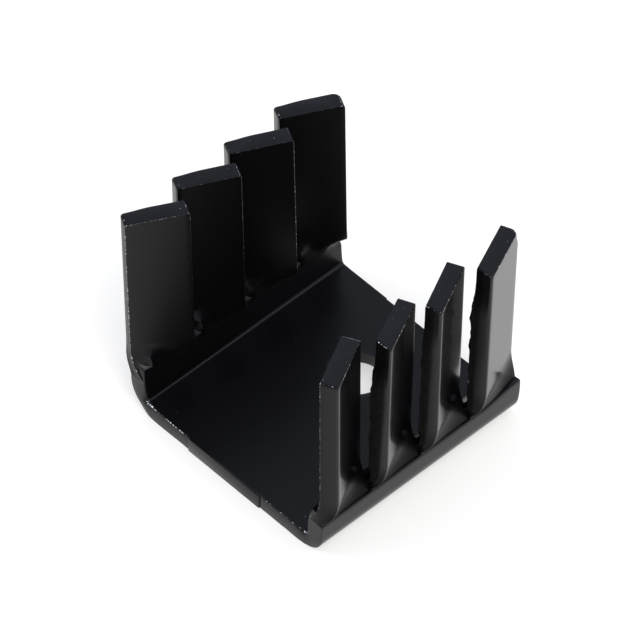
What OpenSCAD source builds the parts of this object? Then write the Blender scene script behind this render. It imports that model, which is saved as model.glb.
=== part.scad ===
// Board level heat sink, stamped and bent from one piece of aluminium sheet.
// The base takes the tab of a transistor under one screw. Each flange is lanced into fingers, and every
// finger is twisted about its own upright axis, so that air passes between neighbours like louvres.
// Origin: middle of the underside of the base. +Z is up, +X runs across the channel, -Y is the front edge.

/* [Sheet] */
// Thickness of the aluminium sheet
sheet_t = 1.25; // [0.8:0.05:1.6]
// Inside radius of the two bends
bend_r = 0.3; // [0.2:0.1:0.8]

/* [Base] */
// Inside width of the channel at the floor, from crease to crease
channel_w = 16; // [14:0.5:22]
// Length of the sheet along the channel, front edge to back edge
depth = 19.05; // [16:0.05:28]

/* [Screw hole] */
// Diameter of the clearance hole for the tab screw
hole_d = 3.9; // [3:0.1:4.4]
// Distance of the hole centre from the back edge
hole_from_back = 6.35; // [4.5:0.05:8]

/* [Shear marks] */
// Width of the stub that the cut-off leaves on the front edge
stub_w = 7.1; // [4:0.1:10]
// How far the stub stands out of the front edge, and how deep its mate lies in the back edge
stub_depth = 0.2; // [0.1:0.05:0.4]

/* [Flanges] */
// Outward lean of both flanges below the slits, in degrees
flange_lean = 6; // [2:0.5:12]
// Height of the slit bottoms above the underside
slit_z = 4.2; // [3.6:0.1:5]

/* [Fingers] */
// Overall height of the heat sink
overall_h = 17.9; // [12:0.1:24]
// Fingers along each flange
finger_count = 4; // [3:1:5]
// Clearance left between neighbouring fingers by the lancing
slit_w = 0.03; // [0.02:0.01:0.2]
// Twist of every finger, front edge outward, in degrees
finger_twist = 27; // [10:0.2:35]
// Height over which the twist runs out
twist_h = 2.6; // [2:0.1:4]
// How far the twist starts below the slit bottoms, on the outer side
twist_below_slit = 1.1; // [0.5:0.1:1.2]
// Thickness of the web that is left on the inner side between the start of the twist and the slit bottoms
web_t = 0.6; // [0.3:0.05:0.8]
// Extra pitch at the finger tips, which fan out a little
tip_spread = 0.18; // [0:0.01:0.3]
// Outward lean of the left fingers, in degrees
left_lean = 3.8; // [-2:0.1:6]
// Outward lean of the right fingers, in degrees
right_lean = -0.9; // [-2:0.1:6]
// How far the left fingers are set in from the left flange
left_inset = 0.1; // [0:0.05:0.5]
// How far the right fingers are set in from the right flange
right_inset = 0.1; // [0:0.05:0.5]
// Radius of the tip corners
tip_corner_r = 0.25; // [0.1:0.05:0.8]
// Radius of the rearmost tip corners, where the sheet's own corner was cut off
end_corner_r = 0.6; // [0.3:0.1:1.8]
// How much wider the rearmost fingers are, on their back edges
end_extra_w = 0.2; // [0:0.05:0.5]

/* [Hidden] */
$fn = 64;
// Levels of the twisted stretch and of the rounded tip corners, and steps across a finger
twist_steps = 10;
corner_steps = 4;
across_steps = 4;
// Overlap of cutting shapes past the faces that they cut
cut_past = 1;
// Stretch of floor that is drawn with each bend, and length of finger inside the flange below the twist,
// so that each joins on as one piece
floor_lap = 1;
foot_lap = 0.4;

// Turn of the sheet in each bend, and the length that the bend takes from floor and flange
bend_turn = 90 - flange_lean;
bend_setback = bend_r * tan(bend_turn / 2);
floor_half_w = channel_w / 2 - bend_setback;
twist_from_z = slit_z - twist_below_slit;

finger_pitch = depth / finger_count;
// Widest finger that can turn past its neighbour, less the clearance
finger_w = sqrt(finger_pitch * finger_pitch - sheet_t * sheet_t) - slit_w;
hole_y = depth / 2 - hole_from_back;

// Straight length of the flange's inner face, from the bend up to height z
function flange_len(z) = (z - sheet_t) / cos(flange_lean) - bend_setback;

// Share of the twist that a finger has at height z: quick at the foot, and running out upwards
function twist_share(z) = sin(90 * min(1, max(0, (z - twist_from_z) / twist_h)));

// Distance of the sheet's middle plane from the middle of the channel, on the flange at height z
function flange_x(z) = channel_w / 2 + sheet_t / 2 / cos(flange_lean) + (z - sheet_t) * tan(flange_lean);

// The same for a straight finger with its own lean and inset
function finger_x(z, lean, inset) = flange_x(slit_z) - inset + (z - slit_z) * tan(lean);

// Axis of a finger at height z: it leaves the flange and runs over into its own straight line
function axis_x(z, lean, inset) =
    let (s = twist_share(z)) (1 - s) * flange_x(z) + s * finger_x(z, lean, inset);

// Steps away from the middle finger, front to back, and the axis along the channel at height z
function finger_step(i) = i - (finger_count - 1) / 2;
function axis_y(i, z) =
    finger_step(i) * (finger_pitch + tip_spread * max(0, z - slit_z) / (overall_h - slit_z));

// What a rounded tip corner of radius r takes off the half width at height z
function corner_cut(z, r) =
    let (rise = max(0, z - (overall_h - r))) r - sqrt(max(0, r * r - rise * rise));

// Outline of a finger at height z, seen from above: along the inner face from back to front, and back
// along the outer face. Its back edge has corner radius back_r, and stands back_w further out than its
// front edge once it is twisted.
function finger_section(i, z, lean, inset, back_r, back_w) =
    let (
        turn = finger_twist * twist_share(z),
        front = -finger_w / 2 + corner_cut(z, tip_corner_r),
        back = finger_w / 2 + back_w * twist_share(z) - corner_cut(z, back_r),
        step = (back - front) / across_steps,
        inner = [for (k = [0 : across_steps]) [-sheet_t / 2, back - step * k]],
        outer = [for (k = [0 : across_steps]) [sheet_t / 2, front + step * k]]
    )
    [for (p = concat(inner, outer))
        [
            axis_x(z, lean, inset) + p.x * cos(turn) - p.y * sin(turn),
            axis_y(i, z) + p.x * sin(turn) + p.y * cos(turn),
            z
        ]];

// Heights of the sections: foot inside the flange, twisted stretch, straight stretch, rounded corners
function finger_levels(back_r) = concat(
    [twist_from_z - foot_lap],
    [for (k = [0 : twist_steps]) twist_from_z + twist_h * k / twist_steps],
    [for (k = [0 : corner_steps]) overall_h - back_r * (1 - sin(90 * k / corner_steps))]
);

// Solid through a stack of band outlines, lowest first. Each has as many points along its inner side as
// back along its outer side, and its two ends are closed in strips across the band.
module loft(outlines) {
    n = len(outlines[0]);
    last = len(outlines) - 1;
    sides = [for (k = [0 : last - 1], j = [0 : n - 1])
        let (a = k * n + j, b = k * n + (j + 1) % n)
        each [[a, a + n, b], [b, a + n, b + n]]];
    bottom = [for (j = [0 : n / 2 - 2]) [j, j + 1, n - 2 - j, n - 1 - j]];
    top = [for (strip = bottom) [for (j = [3 : -1 : 0]) last * n + strip[j]]];
    polyhedron(points = [for (o = outlines) each o], faces = concat(sides, bottom, top), convexity = 6);
}

// One flange of the bent sheet, seen from the front: a lap of the floor, the bend, the strip up to where
// the twist starts, and the web from there to the slit bottoms
module flange_profile() {
    outer_r = bend_r + sheet_t;
    translate([floor_half_w, outer_r]) {
        translate([-floor_lap, -outer_r])
            square([floor_lap, sheet_t]);
        intersection() {
            difference() {
                circle(r = outer_r);
                circle(r = bend_r);
            }
            translate([0, -outer_r])
                square(2 * outer_r);
            rotate(-flange_lean)
                translate([-outer_r, -2 * outer_r])
                    square(2 * outer_r);
        }
        rotate(-flange_lean)
            translate([bend_r, 0]) {
                square([sheet_t, flange_len(twist_from_z)]);
                square([web_t, flange_len(slit_z)]);
            }
    }
}

// The bent sheet, seen from the front
module sheet_profile() {
    translate([-floor_half_w, 0])
        square([2 * floor_half_w, sheet_t]);
    flange_profile();
    mirror([1, 0])
        flange_profile();
}

// Channel: the base and both flanges without their fingers
module channel() {
    translate([0, depth / 2, 0])
        rotate([90, 0, 0])
            linear_extrude(depth)
                sheet_profile();
}

// Outline of the cut-off stub, seen from above, which reaches as far into the sheet as out of it
module stub_outline() {
    square([stub_w, 2 * stub_depth], center = true);
}

// Clearance hole for the tab screw
module screw_hole() {
    translate([0, hole_y, -cut_past])
        cylinder(h = sheet_t + 2 * cut_past, d = hole_d);
}

// One lanced and twisted finger of the right flange, counted from the front
module finger(i, lean, inset) {
    rearmost = i == finger_count - 1;
    back_r = rearmost ? end_corner_r : tip_corner_r;
    back_w = rearmost ? end_extra_w : 0;
    loft([for (z = finger_levels(back_r)) finger_section(i, z, lean, inset, back_r, back_w)]);
}

module fingers(lean, inset) {
    for (i = [0 : finger_count - 1])
        finger(i, lean, inset);
}

module heatsink() {
    color([0.06, 0.06, 0.07]) {
        difference() {
            union() {
                channel();
                translate([0, -depth / 2, 0])
                    linear_extrude(sheet_t)
                        stub_outline();
            }
            screw_hole();
            translate([0, depth / 2, -cut_past])
                linear_extrude(sheet_t + 2 * cut_past)
                    stub_outline();
        }
        fingers(right_lean, right_inset);
        mirror([1, 0, 0])
            fingers(left_lean, left_inset);
    }
}

heatsink();
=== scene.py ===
"""Stamped heat sink for a transistor, in black anodised aluminium, with its studio.

One piece of sheet is bent into a channel. Each flange is lanced into four fingers, and every finger is
twisted about its own upright axis. The sheet is drawn here with its shearing marks: rolled edges on the
punch side, torn faces and burrs where the fingers were lanced apart, and knocks that show bare metal.
The script is laid out as an add-on: sizes in property groups, one operator for each group of parts, and a
panel in the sidebar. Sizes are kept in metres, and shapes are worked out in millimetres.
"""
import collections
import math

import bmesh
import bpy
import numpy as np
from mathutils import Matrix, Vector


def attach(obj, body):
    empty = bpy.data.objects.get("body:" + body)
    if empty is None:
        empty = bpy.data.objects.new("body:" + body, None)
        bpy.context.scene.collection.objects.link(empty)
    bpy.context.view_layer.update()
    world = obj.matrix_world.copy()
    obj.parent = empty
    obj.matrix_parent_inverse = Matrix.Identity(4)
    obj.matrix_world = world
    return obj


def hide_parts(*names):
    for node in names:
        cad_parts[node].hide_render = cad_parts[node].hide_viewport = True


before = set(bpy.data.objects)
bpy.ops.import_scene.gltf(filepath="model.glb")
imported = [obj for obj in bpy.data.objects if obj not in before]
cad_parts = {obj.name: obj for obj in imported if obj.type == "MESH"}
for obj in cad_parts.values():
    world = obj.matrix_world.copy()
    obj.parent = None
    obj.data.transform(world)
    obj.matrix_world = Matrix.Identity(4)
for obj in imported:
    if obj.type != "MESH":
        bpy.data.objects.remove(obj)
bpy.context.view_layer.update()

bl_info = {
    "name": "Stamped Heat Sink",
    "version": (1, 0, 0),
    "blender": (4, 5, 0),
    "location": "3D View > Sidebar > Heat Sink",
    "description": "Builds a heat sink bent and lanced from one sheet of anodised aluminium",
    "category": "Add Mesh",
}

MM = 0.001
NODE = "heatsink"
BODY = "root"
PIECE = "heatsink_sheet"
# Number fields on the points of the mesh, which the finish reads
FIELDS = ("wear", "torn", "inside")
# Sign of x on each side of the channel
RIGHT, LEFT = 1, -1
FINGERS_A_SIDE = 4


def metres(value):
    """A length that is given in millimetres, as a property default."""
    return value * MM


class SheetSizes(bpy.types.PropertyGroup):
    """Sizes of the base and the two flanges"""

    thickness: bpy.props.FloatProperty(
        name="Sheet thickness",
        description="Thickness of the aluminium sheet",
        default=metres(1.25), unit="LENGTH", precision=5)
    inside_width: bpy.props.FloatProperty(
        name="Inside width",
        description="Width of the channel at its floor, from crease to crease",
        default=metres(16.0), unit="LENGTH", precision=5)
    length: bpy.props.FloatProperty(
        name="Length",
        description="Length of the sheet along the channel",
        default=metres(19.05), unit="LENGTH", precision=5)
    height: bpy.props.FloatProperty(
        name="Height",
        description="Overall height of the heat sink",
        default=metres(17.9), unit="LENGTH", precision=5)
    slit_height: bpy.props.FloatProperty(
        name="Slit height",
        description="Height of the slit bottoms on the inner side",
        default=metres(4.2), unit="LENGTH", precision=5)
    root_height: bpy.props.FloatProperty(
        name="Root height",
        description="Height at which the twist starts on the outer side",
        default=metres(3.02), unit="LENGTH", precision=5)
    lean: bpy.props.FloatProperty(
        name="Flange lean",
        description="Outward lean of the flanges' inner faces",
        default=math.radians(6.0), subtype="ANGLE")
    hole_diameter: bpy.props.FloatProperty(
        name="Hole diameter",
        description="Clearance hole for the tab screw",
        default=metres(3.9), unit="LENGTH", precision=5)
    hole_from_back: bpy.props.FloatProperty(
        name="Hole from back",
        description="Distance of the hole from the back edge",
        default=metres(6.35), unit="LENGTH", precision=5)
    stub_width: bpy.props.FloatProperty(
        name="Stub width",
        description="Width of the stub that the cut-off leaves",
        default=metres(7.1), unit="LENGTH", precision=5)
    stub_depth: bpy.props.FloatProperty(
        name="Stub depth",
        description="How far the stub stands out of the front edge",
        default=metres(0.19), unit="LENGTH", precision=5)


class FingerSizes(bpy.types.PropertyGroup):
    """Sizes of the lanced fingers"""

    width: bpy.props.FloatProperty(
        name="Finger width",
        description="Width of a finger at its tip",
        default=metres(4.62), unit="LENGTH", precision=5)
    twist: bpy.props.FloatProperty(
        name="Twist",
        description="Twist of every finger, front edge outward",
        default=math.radians(26.8), subtype="ANGLE")
    twist_height: bpy.props.FloatProperty(
        name="Twist height",
        description="Height over which the twist runs out",
        default=metres(2.65), unit="LENGTH", precision=5)
    corner_radius: bpy.props.FloatProperty(
        name="Tip corner",
        description="Radius of the tip corners",
        default=metres(0.2), unit="LENGTH", precision=5)
    end_corner_radius: bpy.props.FloatProperty(
        name="Rear tip corner",
        description="Radius of the rearmost tip corners",
        default=metres(0.6), unit="LENGTH", precision=5)
    burr: bpy.props.FloatProperty(
        name="Burr",
        description="Mean height of the burr on the lanced inner edges",
        default=metres(0.12), unit="LENGTH", precision=5)


class FinishSettings(bpy.types.PropertyGroup):
    """Colours of the finish and of the studio"""

    dye: bpy.props.StringProperty(
        name="Dye", description="Colour of the dyed oxide, as hex sRGB", default="060607")
    metal: bpy.props.StringProperty(
        name="Bare metal", description="Colour of worn aluminium, as hex sRGB", default="E3E4E6")
    paper: bpy.props.StringProperty(
        name="Paper", description="Colour of the studio floor, as hex sRGB", default="E6E2D6")
    sky: bpy.props.StringProperty(
        name="Surround", description="Colour of the light from all around, as hex sRGB", default="D2D8EA")


def linear(hex_colour):
    """Linear RGBA of a hex sRGB colour."""
    parts = [int(hex_colour[k:k + 2], 16) / 255 for k in (0, 2, 4)]
    return tuple(c / 12.92 if c <= 0.04045 else ((c + 0.055) / 1.055) ** 2.4 for c in parts) + (1.0,)


def ease(s):
    """Smooth run from 0 to 1, of one number or of many."""
    s = np.clip(s, 0.0, 1.0)
    return s * s * (3 - 2 * s)


def bell(distance, span):
    """Bump of height 1 that dies away over span."""
    return np.exp(-(distance / span) ** 2)


# Heights that a ragged line has before it repeats, and the shift that keeps its places positive
RAGGED_HEIGHTS = 400
RAGGED_SHIFT = 40.0


def ragged(places, spacing, seed):
    """Smooth random line between 0 and 1 along places, with a new height every spacing."""
    heights = np.random.RandomState(seed).rand(RAGGED_HEIGHTS)
    s = np.asarray(places, float) / spacing + RAGGED_SHIFT
    k = np.floor(s).astype(int)
    here, after = heights[k % RAGGED_HEIGHTS], heights[(k + 1) % RAGGED_HEIGHTS]
    return here + (after - here) * ease(s - k)


def ragged_at(z, spacing, seed):
    """Height of a ragged line at one place."""
    return float(ragged([z], spacing, seed)[0])


def arc(n, start, end):
    """Angles from start to end in degrees, n of them."""
    return [math.radians(start + (end - start) * k / (n - 1)) for k in range(n)]


def add_object(name, data):
    """New object in the scene that shows this data."""
    made = bpy.data.objects.new(name, data)
    bpy.context.scene.collection.objects.link(made)
    return made


def new_mesh(name, points, faces, fields):
    """Mesh object from points in millimetres, with one named number field on its points for each entry."""
    mesh = bpy.data.meshes.new(name)
    mesh.from_pydata([tuple(p) for p in np.asarray(points) * MM], [], faces)
    for field, values in fields.items():
        values = np.asarray(values, np.float32)
        mesh.attributes.new(field, "FLOAT", "POINT").data.foreach_set("value", values)
    mesh.update()
    return add_object(name, mesh)


def ring_faces(rings, m, turned=False):
    """Four-sided faces between neighbouring closed rings of m points each."""
    faces = []
    for s in range(rings - 1):
        for k in range(m):
            a, b = s * m + k, s * m + (k + 1) % m
            quad = (a, b, b + m, a + m)
            faces.append(quad[::-1] if turned else quad)
    return faces


def combine(target, tool, how):
    """Joins a tool to the target, or cuts it out, and deletes the tool."""
    step = target.modifiers.new(how, "BOOLEAN")
    step.operation = how
    step.object = tool
    step.solver = "MANIFOLD"
    bpy.context.view_layer.update()
    done = target.evaluated_get(bpy.context.evaluated_depsgraph_get())
    mesh = bpy.data.meshes.new_from_object(done)
    target.modifiers.clear()
    old = target.data
    target.data = mesh
    bpy.data.meshes.remove(old)
    spare = tool.data
    bpy.data.objects.remove(tool)
    bpy.data.meshes.remove(spare)
    if not mesh.polygons:
        raise RuntimeError(f"nothing is left after {how}")


# Points across half the floor, along each bend, round the witness line and round a sheared end
FLOOR_STEPS = 14
BEND_STEPS = 14
WITNESS_STEPS = 5
END_STEPS = 6
# Points up the flange, up the web and beside the witness line (first and step), as shares of each stretch
FLANGE_SHARES = (0.25, 0.5, 0.75)
WEB_SHARES = (0.2, 0.4, 0.6, 0.8, 0.97)
WITNESS_SHARES = (0.8, 0.05)
# Cross-sections along the channel
STATIONS = 110
INNER_BEND_R = 0.28
# Outer radius of each bend: the left one was pressed rounder than the right one
OUTER_BEND_R = {RIGHT: 1.6, LEFT: 2.72}
# Outer face of each flange, from the middle of the channel
OUTER_FACE_X = {RIGHT: 9.52, LEFT: 9.6}
# Rounding of the witness line: across the face and up it
ROOT_ROUND = {RIGHT: (0.1, 0.22), LEFT: (0.02, 0.1)}
# The ledge under the fingers lies a little below the root, and meets the web in a small fillet. The inner
# side's point beside it lies a little above the root
LEDGE_SINK = 0.02
LEDGE_FILLET = 0.05
ABOVE_ROOT = 0.1
# Sheet left on the inner side below the slits: under the front and the back of each finger
WEB_T = (0.62, 0.2)
# It thins from just behind the middle of each finger, over this length
THIN_FROM = 0.3
THIN_RUN = 1.6
# The back edge counts with the last finger, this far before its end, and not with one past it
JUST_WITHIN = 0.001
# The lance leaves the web's top sloping down to the inner side, by this much either way, and breaks its edges
WEB_SLOPE = 0.2
WEB_EDGES = (0.02, 0.03)
# How far the web's top falls off at the front edge, or rises where it is negative, and over what length
WEB_DROP = {RIGHT: 0.3, LEFT: -0.25}
WEB_DROP_RUN = {RIGHT: 0.45, LEFT: 0.8}
# How much thicker the left web is at the front edge
WEB_FRONT_EXTRA = 0.4
# The web is cut away at the back edge: what stays of it, from how far before the edge, and over what length
BACK_WEB_LEFT = 0.2
BACK_WEB_FROM = 0.9
BACK_WEB_RUN = 0.5
# The right witness line climbs towards the back: by how much, from where along and up the flange, and over
# what length and height
WITNESS_LIFT = 0.5
WITNESS_FROM = (5.8, 1.9)
WITNESS_RUN = (3.6, 1.0)
# Rounding of the sheared ends: smallest on the inner side, extra at the crease and at the slits, and the
# distance over which that extra dies away
END_ROLL = 0.1
CREASE_ROLL = 0.32
SLIT_ROLL = {RIGHT: 0.16, LEFT: 0.03}
ROLL_REACH = 0.7
OUTER_ROLL = 0.05
BACK_ROLL = 0.05
# The shear leaves its two edges waving: how far, how often, up to what height, and where they are high
SHEAR_WAVE = 0.03
SHEAR_PITCH = 0.9
SHEAR_TOP = 2.8
SHEAR_SEEDS = {"front": 11, "back": 12}
# The front edge of the base stands out between the bends: how far, how far past the creases, over what run
FRONT_BOW = 0.09
BOW_PAST = 0.5
BOW_RUN = 1.0
# The pressed right flange stands out at the back: how far, at what height and over what span, from where
# across and over what run, and over what length along
END_BULGE = 0.17
BULGE_Z = (2.5, 1.0)
BULGE_X = (8.4, 0.8)
BULGE_LENGTH = 2.5
# How much the front edge is knocked, how much more near its left end, and where that end is
FRONT_WEAR = 1.04
LEFT_WEAR = 0.14
LEFT_WEAR_X = (-5.0, 2.0)
# The ends of the flanges are knocked less, from this height and over this rise
FLANGE_SPARED = {RIGHT: 0.12, LEFT: 0.4}
SPARED_Z = (1.3, 0.3)
BACK_WEAR = 0.5
# The stub reaches into the sheet and has rounded edges, and cutting shapes reach past it
STUB_LAP = 0.6
STUB_EDGE = 0.06
CUT_PAST = 1.0


def inner_x(z, sheet):
    """Inner face of a flange at height z."""
    t, half = sheet.thickness / MM, sheet.inside_width / MM / 2
    return half + (z - t) * math.tan(sheet.lean)


def flange_outline(side, sheet):
    """Inner and outer points of half the channel, from the floor's middle up to the web's top, as pairs."""
    t, half = sheet.thickness / MM, sheet.inside_width / MM / 2
    slit, root = sheet.slit_height / MM, sheet.root_height / MM
    lean = math.degrees(sheet.lean)
    floor_x = half - INNER_BEND_R * math.tan(math.radians(90 - lean) / 2)
    big = OUTER_BEND_R[side]
    face = OUTER_FACE_X[side]
    round_x, round_z = ROOT_ROUND[side]
    inner, outer = [], []
    for k in range(FLOOR_STEPS):
        inner.append((floor_x * k / FLOOR_STEPS, t))
        outer.append(((face - big) * k / FLOOR_STEPS, 0.0))
    for a, b in zip(arc(BEND_STEPS, -90, -lean), arc(BEND_STEPS, -90, 0)):
        inner.append((floor_x + INNER_BEND_R * math.cos(a), t + INNER_BEND_R * (1 + math.sin(a))))
        outer.append((face - big + big * math.cos(b), big + big * math.sin(b)))
    low = inner[-1][1]
    for s in FLANGE_SHARES:
        inner.append((inner_x(low + (root - low) * s, sheet), low + (root - low) * s))
        outer.append((face, big + (root - round_z - big) * s))
    for k, a in enumerate(arc(WITNESS_STEPS, 0, 90)):
        z = low + (root - low) * (WITNESS_SHARES[0] + WITNESS_SHARES[1] * k)
        inner.append((inner_x(z, sheet), z))
        outer.append((face - round_x * (1 - math.cos(a)), root - round_z * (1 - math.sin(a))))
    inner.append((inner_x(root + ABOVE_ROOT, sheet), root + ABOVE_ROOT))
    outer.append((inner_x(root, sheet) + WEB_T[0] + LEDGE_FILLET, root - LEDGE_SINK))
    for s in WEB_SHARES:
        low_z = root + (slit - WEB_SLOPE - root) * s
        high_z = root + (slit + WEB_SLOPE - root) * s
        inner.append((inner_x(low_z, sheet), low_z))
        outer.append((inner_x(high_z, sheet) + WEB_T[0], high_z))
    inner.append((inner_x(slit, sheet) + WEB_EDGES[0], slit - WEB_SLOPE + WEB_EDGES[0]))
    outer.append((inner_x(slit, sheet) + WEB_T[0] - WEB_EDGES[1], slit + WEB_SLOPE))
    return inner, outer


def normals_of(line, flip):
    """Unit normals of an open line of points, pointing out of the sheet."""
    d = np.gradient(np.asarray(line), axis=0)
    n = np.column_stack([d[:, 1], -d[:, 0]]) * flip
    return n / np.linalg.norm(n, axis=1)[:, None]


def front_roll(loop, inner_count, sheet):
    """Rounding of the front end at each point of the outline: deepest at the creases and at the slits."""
    half, t, slit = sheet.inside_width / MM / 2, sheet.thickness / MM, sheet.slit_height / MM
    roll = np.full(len(loop), OUTER_ROLL)
    x, z = np.abs(loop[:inner_count, 0]), loop[:inner_count, 1]
    slit_roll = np.where(loop[:inner_count, 0] > 0, SLIT_ROLL[RIGHT], SLIT_ROLL[LEFT])
    crease = bell(np.hypot(x - half, z - t), ROLL_REACH)
    roll[:inner_count] = END_ROLL + CREASE_ROLL * crease + slit_roll * bell(z - slit, ROLL_REACH)
    return roll


def front_knocks(loop):
    """How much the front edge is knocked at each point of the outline."""
    knocks = FRONT_WEAR + LEFT_WEAR * bell(loop[:, 0] - LEFT_WEAR_X[0], LEFT_WEAR_X[1])
    spared = np.where(loop[:, 0] > 0, FLANGE_SPARED[RIGHT], FLANGE_SPARED[LEFT])
    return knocks - spared * ease((loop[:, 1] - SPARED_Z[0]) / SPARED_Z[1])


def shape_web(points, outer, sheet):
    """Thins the web under the back of each finger, drops it at both ends, and lifts the witness line."""
    root, slit, length = sheet.root_height / MM, sheet.slit_height / MM, sheet.length / MM
    pitch = length / FINGERS_A_SIDE
    x, y, z = points.T
    right = x > 0
    share = np.clip((z - root - LEDGE_SINK) / (slit - root), 0, 1)
    within = np.minimum(y, length / 2 - JUST_WITHIN)
    from_axis = np.mod(within + length / 2, pitch) - pitch / 2
    fall = {side: np.exp(-(y + length / 2) / WEB_DROP_RUN[side]) for side in (RIGHT, LEFT)}
    thin = (WEB_T[0] - WEB_T[1]) * ease((from_axis - THIN_FROM) / THIN_RUN)
    thin = thin - np.where(x < 0, WEB_FRONT_EXTRA * fall[LEFT], 0.0)
    thin = np.where(outer & (share > 0), thin, 0.0)
    drop = np.where(right, WEB_DROP[RIGHT] * fall[RIGHT], WEB_DROP[LEFT] * fall[LEFT]) * share
    at_back = ease((y - length / 2 + BACK_WEB_FROM) / BACK_WEB_RUN)
    drop = drop + (slit - root - BACK_WEB_LEFT) * share * at_back
    lift = WITNESS_LIFT * ease((y - WITNESS_FROM[0]) / WITNESS_RUN[0])
    lift = lift * ease((z - WITNESS_FROM[1]) / WITNESS_RUN[1]) * (1 - share)
    lift = np.where(outer & right, lift, 0.0)
    return np.column_stack([x - np.sign(x) * thin, y, z - drop + lift])


def channel_mesh(sheet):
    """The base and both flanges as one closed mesh."""
    half, length = sheet.inside_width / MM / 2, sheet.length / MM
    right_in, right_out = flange_outline(RIGHT, sheet)
    left_in, left_out = flange_outline(LEFT, sheet)
    inner = np.array([(-x, z) for x, z in reversed(left_in)] + right_in[1:])
    outer = np.array([(-x, z) for x, z in reversed(left_out)] + right_out[1:])
    count = len(inner)
    loop = np.vstack([inner, outer[::-1]])
    normal = np.vstack([normals_of(inner, -1.0), normals_of(outer, 1.0)[::-1]])
    is_outer = np.arange(len(loop)) >= count
    rolls = {"front": front_roll(loop, count, sheet), "back": np.full(len(loop), BACK_ROLL)}
    worn = {"front": front_knocks(loop), "back": np.full(len(loop), BACK_WEAR)}
    curve = arc(END_STEPS, 0, 90)
    stations = [("front", a) for a in curve]
    stations += [("mid", s) for s in np.linspace(0, 1, STATIONS)[1:-1]]
    stations += [("back", a) for a in reversed(curve)]
    along = np.concatenate([[0], np.cumsum(np.linalg.norm(np.diff(loop, axis=0), axis=1))])
    bulge = END_BULGE * bell(loop[:, 1] - BULGE_Z[0], BULGE_Z[1])
    bulge = bulge * ease((loop[:, 0] - BULGE_X[0]) / BULGE_X[1])
    bow = FRONT_BOW * ease((half + BOW_PAST - np.abs(loop[:, 0])) / BOW_RUN)
    points, wear = [], []
    for kind, value in stations:
        if kind == "mid":
            y = -length / 2 + rolls["front"] + (length - BACK_ROLL - rolls["front"]) * value
            y = y + bulge * ease((y - length / 2 + BULGE_LENGTH) / BULGE_LENGTH) - bow * (1 - value)
            inset = np.zeros(len(loop))
            edge = np.zeros(len(loop))
        else:
            sign = -1 if kind == "front" else 1
            roll = rolls[kind]
            wave = (ragged(along, SHEAR_PITCH, SHEAR_SEEDS[kind]) - 0.5) * SHEAR_WAVE
            wave = wave * ease(SHEAR_TOP - loop[:, 1])
            y = sign * (length / 2 - roll * (1 - math.cos(value)) + wave) + (bulge if sign > 0 else -bow)
            inset = roll * (1 - math.sin(value))
            edge = math.sin(2 * value) * worn[kind]
        flat = loop - normal * inset[:, None]
        points.append(shape_web(np.column_stack([flat[:, 0], y, flat[:, 1]]), is_outer, sheet))
        wear.append(edge)
    m = len(loop)
    faces = ring_faces(len(stations), m)
    last = (len(stations) - 1) * m
    for k in range(count - 1):
        strip = (k, k + 1, m - 2 - k, m - 1 - k)
        faces.append(tuple(reversed(strip)))
        faces.append(tuple(last + v for v in strip))
    points = np.vstack(points)
    points[:, 2] = np.maximum(points[:, 2], 0.0)
    inside = np.tile(np.where(is_outer, 0.0, 1.0), len(stations))
    return points, faces, {"wear": np.concatenate(wear), "torn": np.zeros(len(points)), "inside": inside}


def block_mesh(name, low, high, round_by):
    """Block with its upright and lying edges rounded, as a mesh object."""
    mesh = bpy.data.meshes.new(name)
    bm = bmesh.new()
    bmesh.ops.create_cube(bm, size=1.0)
    for v in bm.verts:
        v.co = [(lo + (c + 0.5) * (hi - lo)) * MM for c, lo, hi in zip(v.co, low, high)]
    if round_by:
        bmesh.ops.bevel(bm, geom=bm.edges[:], offset=round_by * MM, segments=3, profile=0.5, affect="EDGES")
    bm.to_mesh(mesh)
    bm.free()
    for field in FIELDS:
        mesh.attributes.new(field, "FLOAT", "POINT")
    return add_object(name, mesh)


class HEATSINK_OT_channel(bpy.types.Operator):
    """Build the base and both flanges, with rolled and sheared ends"""

    bl_idname = "heatsink.channel"
    bl_label = "Base and flanges"

    def execute(self, context):
        sheet = context.scene.heatsink_sheet
        points, faces, fields = channel_mesh(sheet)
        channel = new_mesh(PIECE, points, faces, fields)
        half, depth, t = sheet.stub_width / MM / 2, sheet.stub_depth / MM, sheet.thickness / MM
        front, back = -sheet.length / MM / 2, sheet.length / MM / 2
        stub = block_mesh("stub", (-half, front - depth, 0.0), (half, front + STUB_LAP, t), STUB_EDGE)
        notch = block_mesh(
            "notch", (-half, back - depth / 2, -CUT_PAST), (half, back + CUT_PAST, t + CUT_PAST), 0.0)
        combine(channel, stub, "UNION")
        combine(channel, notch, "DIFFERENCE")
        return {"FINISHED"}


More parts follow.
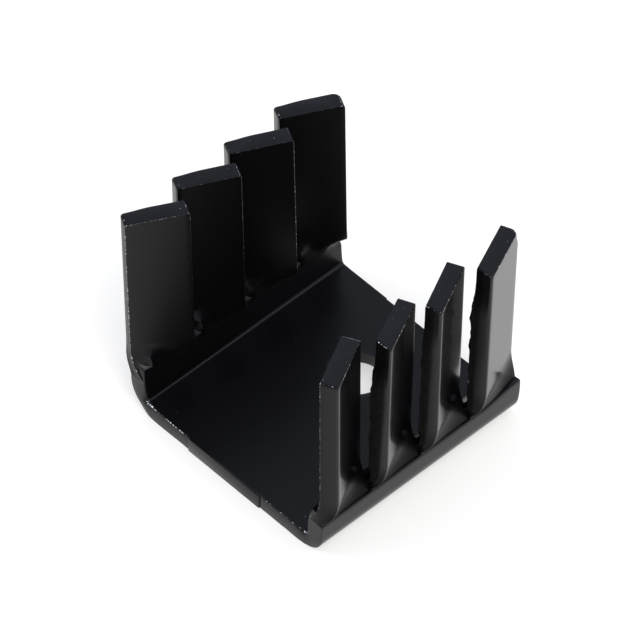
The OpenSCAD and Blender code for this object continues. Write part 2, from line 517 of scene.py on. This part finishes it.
# How each finger came out of the press: shift along the sheet at the tip and at the foot, shift outward at
# the tip and at the foot, extra twist in degrees, extra width, thickness, outward curl of the front corner
# at the slit on the inner side, how far the torn inner front corner lies back at the tip, share of the
# thickness that is torn, and height of the burr against the usual one
Stamp = collections.namedtuple(
    "Stamp", "tip_along foot_along tip_out foot_out twist wider thick curl set_back torn burr")
STAMPS = {
    LEFT: (
        Stamp(-0.26, -0.22, -0.02, 0.03, 1.2, 0.04, 1.17, 0.25, 0.0, 0.4, 0.6),
        Stamp(-0.12, -0.15, 0.08, 0.05, 0.0, 0.09, 1.17, 0.72, 0.1, 0.2, 0.6),
        Stamp(-0.02, -0.08, 0.03, -0.05, -0.2, 0.14, 1.17, 0.6, 0.1, 0.2, 0.6),
        Stamp(0.02, -0.12, 0.06, -0.01, 0.2, 0.26, 1.17, 0.5, 0.1, 0.2, 0.6)),
    RIGHT: (
        Stamp(-0.235, 0.0, -0.07, 0.0, 0.2, 0.02, 1.38, 0.25, 0.0, 0.6, 0.0),
        Stamp(0.04, 0.0, 0.02, 0.0, -1.8, 0.08, 1.3, 0.6, 0.42, 0.8, 0.7),
        Stamp(0.13, 0.0, -0.08, 0.0, -1.0, 0.02, 1.3, 0.6, 0.15, 0.6, 0.6),
        Stamp(0.2, 0.0, 0.03, 0.05, -3.4, 0.22, 1.33, 0.6, 0.35, 0.5, 1.0)),
}
# Where the burrs of each finger are tall and low
BURR_SEEDS = {RIGHT: (100, 110, 120, 3715), LEFT: (105, 115, 125, 135)}

# Sections of a finger: points across each face, round each edge and through the thickness, then levels in
# the foot and in the rounded tip, and the steps between levels in the twist and above it
ACROSS = 12
ROUND = 7
THROUGH = 9
BACK_THROUGH = 5
FOOT_LEVELS = 5
TIP_LEVELS = 9
TWIST_STEP = 0.12
TWIST_REACH = 3.2
STRAIGHT_STEP = 0.21

# Middle plane of each row of fingers: at the slit bottoms and at the tips
ROW_X = {RIGHT: (8.8, 8.55), LEFT: (8.86, 9.72)}
# Height at which a finger's foot ends inside the flange, and how far below the root it stays straight
FOOT_Z = 2.55
FOOT_GAP = 0.1
# How far the foot lies inside the sheet: behind the flange's outer face, and behind its inner face
FOOT_STEP = {RIGHT: 0.12, LEFT: 0.01}
FOOT_SINK = 0.02
# Feet lap over their neighbours, but lie back at the ends of the row, where the front one flares a little
FOOT_LAP = 0.012
END_INSET = 0.02
END_FLARE = 0.035
# The twist starts this far below the root, and sets in softly
TWIST_START = 0.32
SOFT_START = 0.45
# Rise over which the foot takes on the finger's thickness, and its width, which starts later
THICK_RISE = 1.2
WIDTH_FROM = 0.3
WIDTH_RISE = 2.2
# Where the slit starts, a finger is pressed inward and its front corner curls out: how far, over what height
# and length, and from where along the width the press lets go
SLIT_PRESS = {RIGHT: 0.1, LEFT: 0.22}
OUTER_CURL = {RIGHT: 0.2, LEFT: 0.34}
SLIT_SPAN = 0.8
CURL_RUN = 0.75
PRESS_END = 0.4
PRESS_RUN = 1.8
# The left fingers bulge on their outer faces, over this height and length
OUTER_BOW = {RIGHT: 0.0, LEFT: 0.13}
OUTER_BOW_RISE = 3.0
OUTER_BOW_RUN = 2.0
# The inner face is held flush with the flange until it is clear of the slit: up to these heights at its
# front and at its back, over this rise, from this far ahead of its axis, and over these runs along it
FLUSH_Z = (4.5, 3.5)
FLUSH_RUN = 1.3
FLUSH_FROM = 1.25
FLUSH_EDGE = 0.5
FLUSH_SPREAD = 1.5
# The held face lies just inside the sheet at the foot, and comes out of it from this far before the lower
# of these heights on
FLUSH_SINK = 0.02
FLUSH_OUT = 0.05
FLUSH_OUT_FROM = 0.2
FLUSH_OUT_RISE = 0.5

# Rounding of the long edges, along the width and through the thickness: front, back, inner side
FRONT_ROLL = {RIGHT: (0.24, 0.11), LEFT: (0.14, 0.07)}
OUTER_BACK_ROLL = (0.1, 0.08)
INNER_ROLL = 0.07
# Rounding of the tip, and the share of it that the outer and the inner face take
TOP_ROLL = {RIGHT: 0.1, LEFT: 0.05}
TOP_OUTER_SHARE = 0.6
TOP_INNER_SHARE = 0.5
# The rearmost tip corners are smaller than the cut corner of the sheet, most of all on the right, and are
# rounded in plan too, over this height below the tip
END_CORNER_SHARE = {RIGHT: 0.4, LEFT: 0.55}
END_PLAN_ROUND = {RIGHT: 0.5, LEFT: 0.28}
END_PLAN_RISE = 1.5

# Profile of the burr, from the inner face to the torn face: height as a share of the burr's, place through
# the thickness, place along the width, share of its overhang, wear, and tearing
BURR_PROFILE = (
    (0.0, 0.0, 0.3, 0.0, 0.0, 0.0),
    (0.28, 0.0, 0.2, 0.0, 0.0, 0.4),
    (0.72, 0.0, 0.1, 0.0, 0.0, 1.0),
    (1.0, 0.0, 0.03, 1.0, 0.1, 1.0),
    (0.8, 0.01, 0.0, 1.0, 0.0, 1.0),
    (0.3, 0.03, 0.0, 0.6, 0.0, 1.0),
)
# Flat of the inner face that ends at the burr
BURR_FOOT = 0.34
# The burr is low at the foot and at the tip: from where, and over what height
BURR_TOP = (2.2, 1.0)
BURR_LOW = (0.2, 0.6)
# Least height of the burr, then the height and the spacing of its lumps and of its teeth
BURR_LEAST = 0.2
BURR_LUMPS = (1.2, 0.95)
BURR_TEETH = (0.7, 0.27)
# How far the burr hangs over the torn face, and how often it does
OVERHANG = (0.03, 0.7)
# The torn share is smaller at the foot, and wavers: by how much, and how often
TORN_AT_FOOT = 0.2
TORN_WAVER = (0.05, 1.0)
TORN_FADE = 0.3
# The inner front corner lies back near the tip: from where, over what height, and how it curves
SET_BACK_RISE = (4.5, 3.5)
SET_BACK_CURVE = 1.3

# Wear of the free front edge, of the outer edges, of the tips' edges and of the tips' faces
FREE_WEAR = 1.06
OUTER_WEAR = 0.7
TOP_WEAR = 1.08
TOP_FACE_WEAR = 0.77
TIP_EXTRA_WEAR = 0.25
# Share of the tip's rounding past which it counts as its top face
TOP_FACE_FROM = 0.75
# How dull the outer face is where the twist stretched it, finger by finger, and how that fades upwards
STRAINED = {RIGHT: (0.9, 0.9, 0.68, 0.62), LEFT: (0.6, 0.6, 0.6, 0.6)}
STRAIN_FROM = 0.8
STRAIN_FADE = 2.4
# How torn the inner faces look, finger by finger
INNER_TORN = {RIGHT: (0.6, 0.6, 0.6, 0.88), LEFT: (0.0, 0.0, 0.0, 0.0)}
# How torn the sheared faces look: the front end of each row, and the backs of the fingers
FREE_TORN = {RIGHT: 0.5, LEFT: 0.75}
BACK_TORN = 0.3


def finger_levels(height, root, top_r):
    """Heights of the sections: close together in the twist and in the rounded tip."""
    foot = list(np.linspace(FOOT_Z, root - FOOT_GAP, FOOT_LEVELS))
    twist = list(np.arange(root, root + TWIST_REACH, TWIST_STEP))
    straight_end = height - top_r
    n = int((straight_end - twist[-1]) / STRAIGHT_STEP)
    straight = list(np.linspace(twist[-1], straight_end, n + 1)[1:])
    turns = [math.radians(90 * k / TIP_LEVELS) for k in range(1, TIP_LEVELS + 1)]
    return foot + twist + straight + [height - top_r * (1 - math.sin(a)) for a in turns]


def corner_cut(z, height, r):
    """What a tip corner of radius r takes off the half width at height z."""
    rise = max(0.0, z - height + r)
    return r - math.sqrt(max(0.0, r * r - rise * rise))


def burr_at(z, sheet, usual, stamp, seed, climb):
    """Height of the burr at height z, how far it hangs over, and the share of the thickness that is torn."""
    height, root = sheet.height / MM, sheet.root_height / MM
    fade = ease((height - BURR_TOP[0] - z) / BURR_TOP[1]) * ease((z - root - BURR_LOW[0]) / BURR_LOW[1])
    lumps = BURR_LUMPS[0] * ragged_at(z, BURR_LUMPS[1], seed) ** 2
    teeth = BURR_TEETH[0] * ragged_at(z, BURR_TEETH[1], seed + 1)
    tall = usual * fade * stamp.burr * (BURR_LEAST + lumps + teeth)
    out = OVERHANG[0] * ragged_at(z, OVERHANG[1], seed + 2) * fade
    torn = stamp.torn - TORN_AT_FOOT * (1 - climb) + TORN_WAVER[0] * ragged_at(z, TORN_WAVER[1], seed + 3)
    return tall, out, torn


def section(vf, vb, in_t, out_t, front_roll_size, back_roll_size, set_back, burr, free):
    """Outline of a finger at one height, from the inner back edge on.

    vf and vb are its front and back along the width, in_t and out_t its faces through the thickness. A free
    front end has no burr, and free is how torn it looks. Each point of the outline holds its place through
    the thickness and along the width, its wear and its share of tearing.
    """
    ring = []
    r = INNER_ROLL
    fr_v, fr_t = front_roll_size
    bk_v, bk_t = back_roll_size
    tall, out, torn_share = burr
    inner_vf = vf + set_back
    for a in arc(ROUND, 0, 90):
        ring.append((in_t + r - r * math.sin(a), vb - r + r * math.cos(a), math.sin(2 * a), 0.0))
    for k in range(1, ACROSS):
        s = k / ACROSS
        ring.append((in_t, (vb - r) * (1 - s) + (inner_vf + BURR_FOOT) * s, 0.0, 0.0))
    if free:
        for a in arc(ROUND, 90, 180):
            place = (in_t + r - r * math.sin(a), inner_vf + r + r * math.cos(a))
            ring.append(place + (FREE_WEAR * abs(math.sin(2 * a)), 0.0))
    else:
        for share, through, along, overhang, worn, ripped in BURR_PROFILE:
            place = (in_t - tall * share + through, inner_vf + along - out * overhang)
            ring.append(place + (worn, ripped))
        ring.append((in_t + r, inner_vf, 0.0, 1.0))
    for k in range(1, THROUGH):
        s = k / THROUGH
        tau = (in_t + r) * (1 - s) + (out_t - fr_t) * s
        torn = free if free else ease((torn_share - s) / TORN_FADE + 0.5)
        ring.append((tau, vf + set_back * (1 - s) ** SET_BACK_CURVE, 0.0, torn))
    for a in arc(ROUND, 180, 90):
        place = (out_t - fr_t + fr_t * math.sin(a), vf + fr_v + fr_v * math.cos(a))
        ring.append(place + (abs(math.sin(2 * a)) * OUTER_WEAR, 0.0))
    for k in range(1, ACROSS):
        s = k / ACROSS
        ring.append((out_t, (vf + fr_v) * (1 - s) + (vb - bk_v) * s, 0.0, 0.0))
    for a in arc(ROUND, 90, 0):
        place = (out_t - bk_t + bk_t * math.sin(a), vb - bk_v + bk_v * math.cos(a))
        ring.append(place + (abs(math.sin(2 * a)) * OUTER_WEAR, 0.0))
    for k in range(1, BACK_THROUGH):
        s = k / BACK_THROUGH
        ring.append(((out_t - bk_t) * (1 - s) + (in_t + r) * s, vb, 0.0, BACK_TORN))
    return np.array(ring)


def flush_shift(x, v, z, flange_x):
    """Shift that keeps a finger's inner face flush with the flange until it has come clear of the slit."""
    flush = flange_x + FLUSH_SINK - FLUSH_OUT * ease((z - FLUSH_Z[1] + FLUSH_OUT_FROM) / FLUSH_OUT_RISE)
    clear_from = FLUSH_Z[0] + (FLUSH_Z[1] - FLUSH_Z[0]) * ease((v + FLUSH_EDGE) / FLUSH_SPREAD)
    kept = 1 - ease((z - clear_from) / FLUSH_RUN)
    return (flush - x) * kept * ease((v + FLUSH_FROM + FLUSH_EDGE) / FLUSH_EDGE)


def finger_mesh(side, i, sheet, fingers):
    """One finger as a closed mesh of stacked sections."""
    height, root, slit = sheet.height / MM, sheet.root_height / MM, sheet.slit_height / MM
    pitch = sheet.length / MM / FINGERS_A_SIDE
    stamp = STAMPS[side][i]
    full = fingers.twist + math.radians(stamp.twist)
    front_free, back_free = i == 0, i == FINGERS_A_SIDE - 1
    tip_half = fingers.width / MM / 2
    front_r = fingers.corner_radius / MM
    back_r = (fingers.end_corner_radius * END_CORNER_SHARE[side] if back_free else fingers.corner_radius) / MM
    mid_y = (i - (FINGERS_A_SIDE - 1) / 2) * pitch
    foot_in, foot_out = inner_x(root, sheet) + FOOT_SINK, OUTER_FACE_X[side] - FOOT_STEP[side]
    foot_x, tip_x = ROW_X[side]
    points, wear, torn, inside = [], [], [], []
    for z in finger_levels(height, root, max(front_r, back_r)):
        # Twist, place and thickness at this height
        above = max(0.0, z - root + TWIST_START)
        above = math.hypot(above, SOFT_START) - SOFT_START
        share = math.sin(math.pi / 2 * min(1.0, above / (fingers.twist_height / MM)))
        turn = full * share
        blend = ease((z - root) / THICK_RISE)
        grow = ease((z - root - WIDTH_FROM) / WIDTH_RISE)
        climb = max(0.0, (z - slit) / (height - slit))
        line = (foot_x + stamp.foot_out) * (1 - climb) + (tip_x + stamp.tip_out) * climb
        axis = (foot_in + foot_out) / 2 * (1 - share) + line * share
        yc = mid_y + stamp.foot_along * share * (1 - climb) + stamp.tip_along * climb
        half_t = (foot_out - foot_in) / 2 * (1 - blend) + stamp.thick / 2 * blend
        # Front and back along the width, then the rounding of the tip and of the edges
        rise = ease((z - FOOT_Z) / (root - FOOT_Z))
        foot_f = pitch / 2 + (END_FLARE * rise - END_INSET if front_free else FOOT_LAP)
        foot_b = pitch / 2 + (-END_INSET if back_free else FOOT_LAP)
        vf = -(foot_f * (1 - grow) + tip_half * grow) + corner_cut(z, height, front_r)
        vb = foot_b * (1 - grow) + (tip_half + stamp.wider) * grow - corner_cut(z, height, back_r)
        q = min(1.0, max(0.0, (z - height) / TOP_ROLL[side] + 1.0))
        rolled = TOP_ROLL[side] * TOP_OUTER_SHARE * (1 - math.sqrt(1 - q * q))
        back_off = stamp.set_back * ease((z - height + SET_BACK_RISE[0]) / SET_BACK_RISE[1])
        plan_round = END_PLAN_ROUND[side] if back_free else 0.0
        more = plan_round * ease((z - height + END_PLAN_RISE) / END_PLAN_RISE)
        back_roll = [size + more for size in OUTER_BACK_ROLL]
        burr = burr_at(z, sheet, fingers.burr / MM, stamp, BURR_SEEDS[side][i], climb)
        ring = section(vf, vb, -half_t + rolled * TOP_INNER_SHARE, half_t - rolled, FRONT_ROLL[side],
                       back_roll, back_off, burr, FREE_TORN[side] if front_free else 0.0)
        tau, v = ring[:, 0], ring[:, 1]
        tau = tau + (OUTER_BOW[side] * ease((z - slit) / OUTER_BOW_RISE) * ease((v - vf) / OUTER_BOW_RUN)
                     * ease((tau + half_t) / half_t))
        # The freed front corner curls outward where the lance cut it from the web, more on the inner side
        bump = math.exp(-((z - slit) / SLIT_SPAN) ** 2) * ease((z - root) / SLIT_SPAN)
        inner_share = np.clip(0.5 - tau / (2 * half_t), 0, 1)
        curl = bump * (stamp.curl * inner_share + OUTER_CURL[side] * (1 - inner_share))
        curl = curl * ease(1 - (v - vf) / CURL_RUN)
        pressed = SLIT_PRESS[side] * bump * (ease((PRESS_END - v) / PRESS_RUN) if side == RIGHT else 1.0)
        x = axis - pressed + tau * math.cos(turn) - v * math.sin(turn) + curl
        x = x + flush_shift(x, v, z, inner_x(z, sheet)) * inner_share
        y = yc + tau * math.sin(turn) + v * math.cos(turn)
        points.append(np.column_stack([side * x, y, np.full(len(ring), z)]))
        # Finish: knocks, dullness and tearing. The tip's top face only has its own even wear
        strain = STRAINED[side][i] * (1 - ease((z - root - STRAIN_FROM) / STRAIN_FADE))
        on_top = ease((q - TOP_FACE_FROM) / (1 - TOP_FACE_FROM))
        knocks = np.maximum(ring[:, 2] * (1 + TIP_EXTRA_WEAR * q), TOP_WEAR * math.sin(math.pi * q))
        wear.append(knocks * (1 - on_top) + TOP_FACE_WEAR * on_top)
        inside.append(np.maximum(inner_share, strain) * (1 - on_top))
        matt = INNER_TORN[side][i] * inner_share
        torn.append(np.maximum(ring[:, 3], strain * (1 - inner_share) + matt) * (1 - on_top))
    m, rings = len(points[0]), len(points)
    faces = ring_faces(rings, m, side == LEFT)
    caps = [tuple(range(m)), tuple((rings - 1) * m + k for k in reversed(range(m)))]
    faces += [cap if side == LEFT else cap[::-1] for cap in caps]
    fields = {"wear": np.concatenate(wear), "torn": np.concatenate(torn), "inside": np.concatenate(inside)}
    return np.vstack(points), faces, fields


class HEATSINK_OT_fingers(bpy.types.Operator):
    """Build both rows of twisted fingers and join them to the flanges"""

    bl_idname = "heatsink.fingers"
    bl_label = "Fingers"

    def execute(self, context):
        sheet = context.scene.heatsink_sheet
        fingers = context.scene.heatsink_fingers
        channel = bpy.data.objects[PIECE]
        for side in (RIGHT, LEFT):
            for i in range(FINGERS_A_SIDE):
                points, faces, fields = finger_mesh(side, i, sheet, fingers)
                combine(channel, new_mesh(f"finger_{i}", points, faces, fields), "UNION")
        return {"FINISHED"}


# Steps round the screw hole
HOLE_STEPS = 96
# The punch rolls the edge that it enters, on top, and its shoulder stays clear of the sheet
PUNCH_ROLL = 0.14
PUNCH_STEPS = 6
PUNCH_SHOULDER = (1.2, 0.6)
PUNCH_CLEAR = 0.02
# It leaves a small flare below: distance past the hole's radius, and height
PUNCH_FLARE = ((0.0, 0.1), (0.02, 0.03), (0.07, -0.01), (0.9, -0.6))


class HEATSINK_OT_hole(bpy.types.Operator):
    """Cut the clearance hole for the tab screw"""

    bl_idname = "heatsink.hole"
    bl_label = "Screw hole"

    def execute(self, context):
        sheet = context.scene.heatsink_sheet
        r, t = sheet.hole_diameter / MM / 2, sheet.thickness / MM
        y = (sheet.length / 2 - sheet.hole_from_back) / MM
        outline = [(r + PUNCH_SHOULDER[0], t + PUNCH_SHOULDER[1]), (r + PUNCH_ROLL, t + PUNCH_CLEAR)]
        outline += [(r + PUNCH_ROLL * (1 - math.sin(a)), t - PUNCH_ROLL * (1 - math.cos(a)))
                    for a in arc(PUNCH_STEPS, 0, 90)]
        outline += [(r + wider, z) for wider, z in PUNCH_FLARE]
        turns = [2 * math.pi * k / HOLE_STEPS for k in range(HOLE_STEPS)]
        points = [(rho * math.cos(a), y + rho * math.sin(a), z) for rho, z in outline for a in turns]
        last = (len(outline) - 1) * HOLE_STEPS
        caps = [tuple(range(HOLE_STEPS)), tuple(last + k for k in reversed(range(HOLE_STEPS)))]
        faces = caps + ring_faces(len(outline), HOLE_STEPS, True)
        plain = {field: np.zeros(len(points)) for field in FIELDS}
        combine(bpy.data.objects[PIECE], new_mesh("punch", points, faces, plain), "DIFFERENCE")
        return {"FINISHED"}


# Roughness and specular level of the oxide on the sheet's outer and inner side
SKIN_ROUGHNESS = (0.15, 0.32)
SKIN_SPECULAR = (0.5, 0.39)
OXIDE_IOR = 1.37
# What tearing adds to the roughness, and what it leaves of the specular level
TORN_ROUGHNESS = 0.2
TORN_SPECULAR = 0.24
# Relief of torn faces: size of its lumps, depth, and the share of tearing from which it shows
TEARING_SIZE = 0.45
TEARING_DEPTH = 0.06
TEARING_FROM = 0.9
# Knocks: size of the chips, and the range over which they come through
CHIP_SIZE = 0.16
CHIP_RANGE = (0.55, 0.61)
# Short scratches: spacing, scale along the height, which draws them long, range over which they fade,
# strength, and size and range of the areas that have them
SCRATCH_SPACING = 1.1
SCRATCH_SCALE_Z = 0.2
SCRATCH_RANGE = (0.05, 0.03)
SCRATCH_STRENGTH = 0.22
AREA_SIZE = 3.0
AREA_RANGE = (0.5, 0.56)
METAL_ROUGHNESS = 0.4
# Edges sharper than this stay sharp in the shading
SHARP_ANGLE = math.radians(38)


def empty_tree(owner):
    """Node tree of a material or a world, emptied."""
    owner.use_nodes = True
    owner.node_tree.nodes.clear()
    return owner.node_tree


def add_node(tree, kind, settings=None, links=None):
    """Adds a node of that kind, gives its settings and inputs their values, and links inputs to sockets."""
    node = tree.nodes.new(kind)
    for key, value in (settings or {}).items():
        if key in node.inputs:
            node.inputs[key].default_value = value
        else:
            setattr(node, key, value)
    for key, socket in (links or {}).items():
        tree.links.new(socket, node.inputs[key])
    return node


def span(low, high, to_low=0.0, to_high=1.0):
    """Settings that stretch one range to another."""
    return {"From Min": low, "From Max": high, "To Min": to_low, "To Max": to_high}


def anodised_material(finish):
    """Black anodised aluminium.

    The dyed oxide gives the eye a near-black satin skin that mirrors its surroundings softly, and strongly
    at shallow angles. Torn faces are duller, and knocked edges show bright specks of bare metal.
    """
    made = bpy.data.materials.new("black_anodised_aluminium")
    tree = empty_tree(made)
    place = add_node(tree, "ShaderNodeTexCoord").outputs["Object"]
    wear, torn, inside = [
        add_node(tree, "ShaderNodeAttribute", {"attribute_name": field}).outputs["Fac"] for field in FIELDS]

    # Satin skin: the sheet's inner side is duller than its outer side, and torn faces are rough
    skin, sheen = [add_node(tree, "ShaderNodeMapRange", span(0.0, 1.0, *ends), {"Value": inside})
                   for ends in (SKIN_ROUGHNESS, SKIN_SPECULAR)]
    dull = add_node(tree, "ShaderNodeMapRange", span(0.0, 1.0, 0.0, TORN_ROUGHNESS), {"Value": torn})
    left_over = add_node(tree, "ShaderNodeMapRange", span(0.0, 1.0, 1.0, TORN_SPECULAR), {"Value": torn})
    rough = add_node(tree, "ShaderNodeMath", {"operation": "ADD"}, {0: skin.outputs[0], 1: dull.outputs[0]})
    gloss = add_node(tree, "ShaderNodeMath", {"operation": "MULTIPLY"}, {
        0: sheen.outputs[0], 1: left_over.outputs[0]})

    # Relief of the tearing where the fingers were lanced
    tearing = add_node(tree, "ShaderNodeTexNoise", {"Scale": 1 / (TEARING_SIZE * MM), "Detail": 2.0}, {
        "Vector": place})
    relief = add_node(tree, "ShaderNodeMapRange", span(TEARING_FROM, 1.0), {"Value": torn})
    ripped = add_node(tree, "ShaderNodeBump", {"Distance": TEARING_DEPTH * MM}, {
        "Height": tearing.outputs["Fac"], "Strength": relief.outputs[0]})
    oxide = add_node(tree, "ShaderNodeBsdfPrincipled", {"Base Color": linear(finish.dye), "IOR": OXIDE_IOR}, {
        "Roughness": rough.outputs[0], "Specular IOR Level": gloss.outputs[0],
        "Normal": ripped.outputs["Normal"]})

    # Knocks along the edges
    chips = add_node(tree, "ShaderNodeTexNoise", {"Scale": 1 / (CHIP_SIZE * MM), "Detail": 3.0}, {
        "Vector": place})
    knocked = add_node(tree, "ShaderNodeMath", {"operation": "MULTIPLY"}, {0: chips.outputs["Fac"], 1: wear})
    bare_edges = add_node(tree, "ShaderNodeMapRange", span(*CHIP_RANGE), {"Value": knocked.outputs[0]})

    # Short upright scratches, in a few areas only
    drawn_out = add_node(tree, "ShaderNodeMapping", {"Scale": (1.0, 1.0, SCRATCH_SCALE_Z)}, {"Vector": place})
    marks = add_node(tree, "ShaderNodeTexVoronoi", {"Scale": 1 / (SCRATCH_SPACING * MM)}, {
        "Vector": drawn_out.outputs[0]})
    scratches = add_node(tree, "ShaderNodeMapRange", span(*SCRATCH_RANGE, 0.0, SCRATCH_STRENGTH), {
        "Value": marks.outputs["Distance"]})
    blotches = add_node(tree, "ShaderNodeTexNoise", {"Scale": 1 / (AREA_SIZE * MM), "Detail": 2.0}, {
        "Vector": place})
    area = add_node(tree, "ShaderNodeMapRange", span(*AREA_RANGE), {"Value": blotches.outputs["Fac"]})
    scratched = add_node(tree, "ShaderNodeMath", {"operation": "MULTIPLY"}, {
        0: scratches.outputs[0], 1: area.outputs[0]})
    bare = add_node(tree, "ShaderNodeMath", {"operation": "MAXIMUM"}, {
        0: bare_edges.outputs[0], 1: scratched.outputs[0]})
    metal = add_node(tree, "ShaderNodeBsdfPrincipled", {
        "Base Color": linear(finish.metal), "Metallic": 1.0, "Roughness": METAL_ROUGHNESS})
    both = add_node(tree, "ShaderNodeMixShader", links={
        0: bare.outputs[0], 1: oxide.outputs["BSDF"], 2: metal.outputs["BSDF"]})
    add_node(tree, "ShaderNodeOutputMaterial", links={"Surface": both.outputs[0]})
    return made


class HEATSINK_OT_finish(bpy.types.Operator):
    """Give the sheet its anodised finish and tie it to the frame"""

    bl_idname = "heatsink.finish"
    bl_label = "Finish"

    def execute(self, context):
        piece = bpy.data.objects[PIECE]
        mesh = piece.data
        mesh.materials.clear()
        mesh.materials.append(anodised_material(context.scene.heatsink_finish))
        mesh.shade_smooth()
        mesh.set_sharp_from_angle(angle=SHARP_ANGLE)
        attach(piece, BODY)
        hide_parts(NODE)
        return {"FINISHED"}


FLOOR_REACH = 3.0
# Light that the paper adds where it is seen, so that it reads as white
PAPER_GLOW = 0.42
# Camera of the photograph: a long lens, well above and to the right of the front edge
LENS = 472.6
SENSOR_WIDTH = 36.0
CAMERA_PLACE = (0.26473, -0.27349, 0.44619)
CAMERA_TURN = (41.0332, -1.6111, 45.9992)
NEAR_CLIP = 0.01
# Soft round lamps: name, place in metres, diameter in metres, power in watts
LAMPS = (
    ("key_lamp", (0.55, -0.25, 0.75), 0.45, 2.2),
    ("fill_lamp", (-0.55, -0.5, 0.6), 0.45, 1.2),
    ("back_lamp", (0.35, 0.6, 0.6), 0.35, 1.2),
)


def paper_material(finish):
    """White studio paper: matt, and glowing a little where a camera or a mirror sees it."""
    paper = bpy.data.materials.new("studio_paper")
    tree = empty_tree(paper)
    path = add_node(tree, "ShaderNodeLightPath")
    seen = add_node(tree, "ShaderNodeMath", {"operation": "MAXIMUM"}, {
        0: path.outputs["Is Camera Ray"], 1: path.outputs["Is Glossy Ray"]})
    seen = add_node(tree, "ShaderNodeMath", {"operation": "MAXIMUM"}, {
        0: seen.outputs[0], 1: path.outputs["Is Transmission Ray"]})
    glow = add_node(tree, "ShaderNodeEmission", {"Color": (PAPER_GLOW,) * 3 + (1,)}, {
        "Strength": seen.outputs[0]})
    matt = add_node(tree, "ShaderNodeBsdfDiffuse", {"Color": linear(finish.paper)})
    both = add_node(tree, "ShaderNodeAddShader", links={0: matt.outputs[0], 1: glow.outputs[0]})
    add_node(tree, "ShaderNodeOutputMaterial", links={"Surface": both.outputs[0]})
    return paper


def surround_world(finish):
    """Even light from all around, which a camera sees as white."""
    world = bpy.data.worlds.new("studio")
    tree = empty_tree(world)
    path = add_node(tree, "ShaderNodeLightPath")
    light = add_node(tree, "ShaderNodeBackground", {"Color": linear(finish.sky), "Strength": 1.0})
    white = add_node(tree, "ShaderNodeBackground", {"Color": (1, 1, 1, 1), "Strength": 1.0})
    both = add_node(tree, "ShaderNodeMixShader", links={
        0: path.outputs["Is Camera Ray"], 1: light.outputs[0], 2: white.outputs[0]})
    add_node(tree, "ShaderNodeOutputWorld", links={"Surface": both.outputs[0]})
    return world


def add_lamp(name, place, size, power):
    """Soft round lamp that is turned towards the heat sink."""
    light = bpy.data.lights.new(name, "AREA")
    light.shape = "DISK"
    light.size = size
    light.energy = power
    lamp = add_object(name, light)
    lamp.location = place
    lamp.rotation_euler = (-Vector(place)).to_track_quat("-Z", "Y").to_euler()


class HEATSINK_OT_stage(bpy.types.Operator):
    """Set the floor, the light and the camera"""

    bl_idname = "heatsink.stage"
    bl_label = "Studio"

    def execute(self, context):
        scene = context.scene
        finish = scene.heatsink_finish
        corners = [(x * FLOOR_REACH, y * FLOOR_REACH, 0) for x, y in ((-1, -1), (1, -1), (1, 1), (-1, 1))]
        floor_mesh = bpy.data.meshes.new("floor")
        floor_mesh.from_pydata(corners, [], [(0, 1, 2, 3)])
        floor_mesh.materials.append(paper_material(finish))
        floor = add_object("floor", floor_mesh)
        scene.world = surround_world(finish)
        for lamp in LAMPS:
            add_lamp(*lamp)
        camera_data = bpy.data.cameras.new("camera")
        camera_data.sensor_width = SENSOR_WIDTH
        camera_data.lens = LENS
        camera_data.clip_start = NEAR_CLIP
        camera = add_object("camera", camera_data)
        camera.location = CAMERA_PLACE
        camera.rotation_euler = [math.radians(a) for a in CAMERA_TURN]
        scene.camera = camera
        scene.view_settings.view_transform = "Standard"
        return {"FINISHED"}


class HEATSINK_PT_panel(bpy.types.Panel):
    """Sidebar panel with the sizes and the steps of the heat sink"""

    bl_idname = "HEATSINK_PT_panel"
    bl_label = "Heat Sink"
    bl_space_type = "VIEW_3D"
    bl_region_type = "UI"
    bl_category = "Heat Sink"

    def draw(self, context):
        layout = self.layout
        scene = context.scene
        for group in (scene.heatsink_sheet, scene.heatsink_fingers, scene.heatsink_finish):
            box = layout.box()
            for name in group.bl_rna.properties.keys():
                if name not in ("rna_type", "name"):
                    box.prop(group, name)
        for step in STEPS:
            layout.operator(step.bl_idname)


GROUPS = (SheetSizes, FingerSizes, FinishSettings)
STEPS = (HEATSINK_OT_channel, HEATSINK_OT_fingers, HEATSINK_OT_hole, HEATSINK_OT_finish, HEATSINK_OT_stage)


def register():
    for kind in GROUPS + STEPS + (HEATSINK_PT_panel,):
        bpy.utils.register_class(kind)
    bpy.types.Scene.heatsink_sheet = bpy.props.PointerProperty(type=SheetSizes)
    bpy.types.Scene.heatsink_fingers = bpy.props.PointerProperty(type=FingerSizes)
    bpy.types.Scene.heatsink_finish = bpy.props.PointerProperty(type=FinishSettings)


def unregister():
    del bpy.types.Scene.heatsink_finish
    del bpy.types.Scene.heatsink_fingers
    del bpy.types.Scene.heatsink_sheet
    for kind in reversed(GROUPS + STEPS + (HEATSINK_PT_panel,)):
        bpy.utils.unregister_class(kind)


def main():
    """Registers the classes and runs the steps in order."""
    register()
    bpy.ops.heatsink.channel()
    bpy.ops.heatsink.fingers()
    bpy.ops.heatsink.hole()
    bpy.ops.heatsink.finish()
    bpy.ops.heatsink.stage()


if __name__ == "__main__":
    main()
